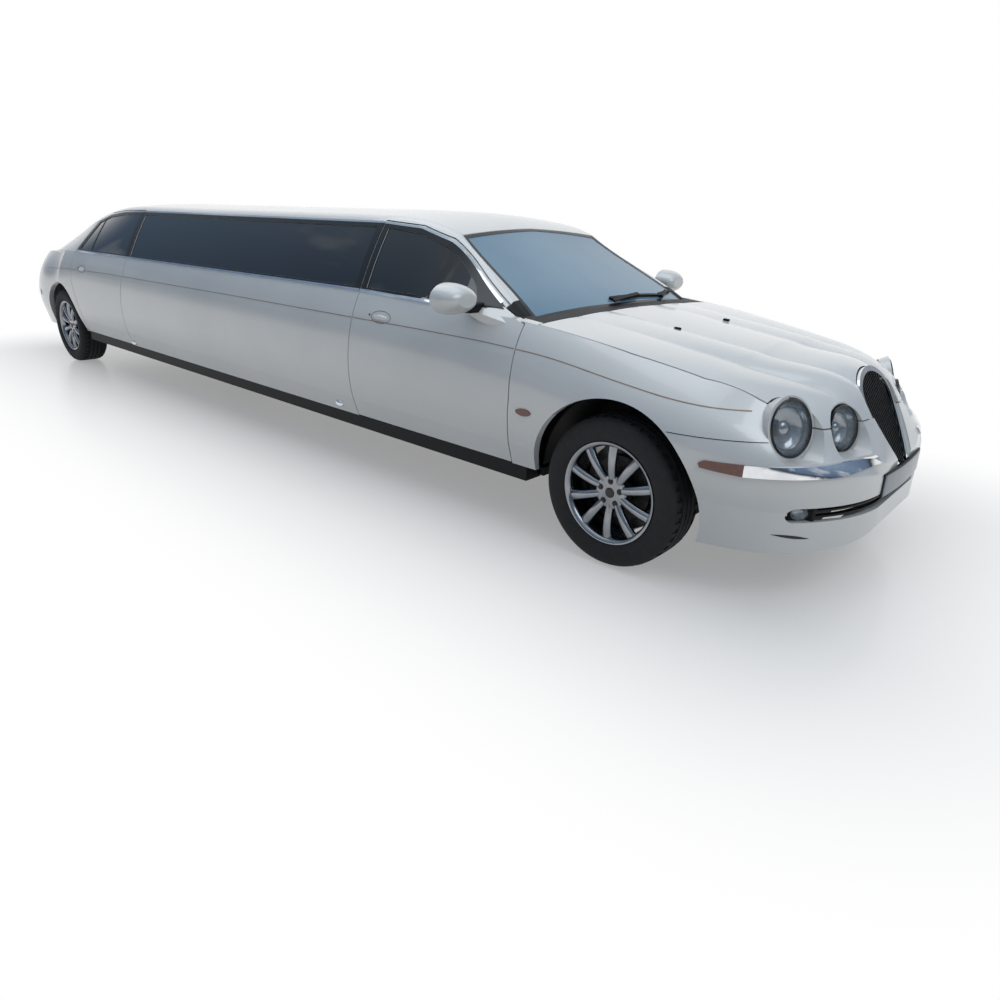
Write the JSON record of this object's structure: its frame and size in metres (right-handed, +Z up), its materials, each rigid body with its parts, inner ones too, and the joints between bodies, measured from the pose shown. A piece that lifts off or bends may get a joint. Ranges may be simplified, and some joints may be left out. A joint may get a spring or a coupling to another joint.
{
  "type": "stretch limousine",
  "caption": "Long white stretch limousine with oval lamps, an upright oval grille, dark side glass, hinged doors, bonnet and boot, steered front wheels.",
  "frame": {"origin": "on the ground under the middle of the car", "axes": "+X forward, +Y to the car's left, +Z up"},
  "size_m": [7.981, 2.084, 1.421],
  "materials": {
    "white_paint": "gloss pearl white",
    "black_plastic": "matt black",
    "dark_glass": "deep tint",
    "clear_glass": "clear",
    "reflector": "polished",
    "bright_trim": "polished",
    "amber_lens": "moulded",
    "red_lens": "moulded",
    "underbody_steel": "satin black",
    "cast_alloy": "as cast",
    "cabin_plastic": "grained",
    "leather": "soft",
    "tyre": "matt",
    "wheel_alloy": "painted silver"
  },
  "bodies": {
    "body": {"wing_left": "white_paint", "wing_right": "white_paint", "front_bumper": "white_paint", "scuttle": "black_plastic", "centre_panel_left": "white_paint", "centre_panel_right": "white_paint", "roof": "white_paint", "roof_hatch": "dark_glass", "quarter_left": "white_paint", "quarter_right": "white_paint", "rear_bumper": "white_paint", "rear_deck": "white_paint", "centre_windows": "dark_glass", "windscreen": "clear_glass", "rear_window": "dark_glass", "headlamp_bowls": "reflector", "lamp_lenses": "clear_glass", "grille": "bright_trim", "grille_bars": "black_plastic", "front_blades": "bright_trim", "amber_lamps": "amber_lens", "rear_blades": "bright_trim", "tail_lamps": "red_lens", "sills": "black_plastic", "floor_pan": "underbody_steel", "wheel_liners": "black_plastic", "front_subframe": "underbody_steel", "rear_axle": "underbody_steel", "engine": "cast_alloy", "radiator": "cast_alloy", "exhaust": "underbody_steel", "dashboard": "cabin_plastic", "front_seats": "leather", "passenger_seats": "leather"},
    "bonnet": {"bonnet": "white_paint"},
    "boot_lid": {"boot_lid": "white_paint"},
    "steering_wheel": {"steering_wheel": "cabin_plastic"},
    "front_door_left": {"front_door_left": "white_paint", "front_door_glass_left": "dark_glass", "mirror_left": "white_paint"},
    "rear_door_left": {"rear_door_left": "white_paint", "rear_door_glass_left": "dark_glass"},
    "knuckle_left": {"knuckle_left": "underbody_steel"},
    "wheel_front_left": {"tyre_front_left": "tyre", "rim_front_left": "wheel_alloy"},
    "wheel_rear_left": {"tyre_rear_left": "tyre", "rim_rear_left": "wheel_alloy"},
    "front_door_right": {"front_door_right": "white_paint", "front_door_glass_right": "dark_glass", "mirror_right": "white_paint"},
    "rear_door_right": {"rear_door_right": "white_paint", "rear_door_glass_right": "dark_glass"},
    "knuckle_right": {"knuckle_right": "underbody_steel"},
    "wheel_front_right": {"tyre_front_right": "tyre", "rim_front_right": "wheel_alloy"},
    "wheel_rear_right": {"tyre_rear_right": "tyre", "rim_rear_right": "wheel_alloy"}
  },
  "joints": [
    {"name": "front_door_left_hinge", "type": "hinge", "parent": "body", "child": "front_door_left", "pos_m": [2.5555, 0.907, 0.62], "axis": [0, 0, -1], "range_deg": [0, 65]},
    {"name": "rear_door_left_hinge", "type": "hinge", "parent": "body", "child": "rear_door_left", "pos_m": [-1.5725, 0.907, 0.62], "axis": [0, 0, -1], "range_deg": [0, 65]},
    {"name": "steer_left", "type": "hinge", "parent": "body", "child": "knuckle_left", "pos_m": [3.0855, 0.69, 0.326], "axis": [0, 0, 1], "range_deg": [-33, 33]},
    {"name": "wheel_front_left_spin", "type": "hinge", "parent": "knuckle_left", "child": "wheel_front_left", "pos_m": [3.0855, 0.768, 0.326], "axis": [0, 1, 0], "continuous": true},
    {"name": "wheel_rear_left_spin", "type": "hinge", "parent": "body", "child": "wheel_rear_left", "pos_m": [-2.9435, 0.768, 0.326], "axis": [0, 1, 0], "continuous": true},
    {"name": "front_door_right_hinge", "type": "hinge", "parent": "body", "child": "front_door_right", "pos_m": [2.5555, -0.907, 0.62], "axis": [0, 0, 1], "range_deg": [0, 65]},
    {"name": "rear_door_right_hinge", "type": "hinge", "parent": "body", "child": "rear_door_right", "pos_m": [-1.5725, -0.907, 0.62], "axis": [0, 0, 1], "range_deg": [0, 65]},
    {"name": "steer_right", "type": "hinge", "parent": "body", "child": "knuckle_right", "pos_m": [3.0855, -0.69, 0.326], "axis": [0, 0, 1], "range_deg": [-33, 33]},
    {"name": "wheel_front_right_spin", "type": "hinge", "parent": "knuckle_right", "child": "wheel_front_right", "pos_m": [3.0855, -0.768, 0.326], "axis": [0, 1, 0], "continuous": true},
    {"name": "wheel_rear_right_spin", "type": "hinge", "parent": "body", "child": "wheel_rear_right", "pos_m": [-2.9435, -0.768, 0.326], "axis": [0, 1, 0], "continuous": true},
    {"name": "bonnet_hinge", "type": "hinge", "parent": "body", "child": "bonnet", "pos_m": [2.6055, 0, 0.981], "axis": [0, -1, 0], "range_deg": [0, 55]},
    {"name": "boot_hinge", "type": "hinge", "parent": "body", "child": "boot_lid", "pos_m": [-3.2935, 0, 1.036], "axis": [0, 1, 0], "range_deg": [0, 75]},
    {"name": "steering_wheel_turn", "type": "hinge", "parent": "body", "child": "steering_wheel", "pos_m": [2.1005, -0.365, 0.8], "axis": [-0.9004, 0, 0.435], "range_deg": [-500, 500]}
  ],
  "couplings": [
    {"joint": "steer_right", "follows": "steer_left", "ratio": 1},
    {"joint": "steering_wheel_turn", "follows": "steer_left", "ratio": 15}
  ]
}
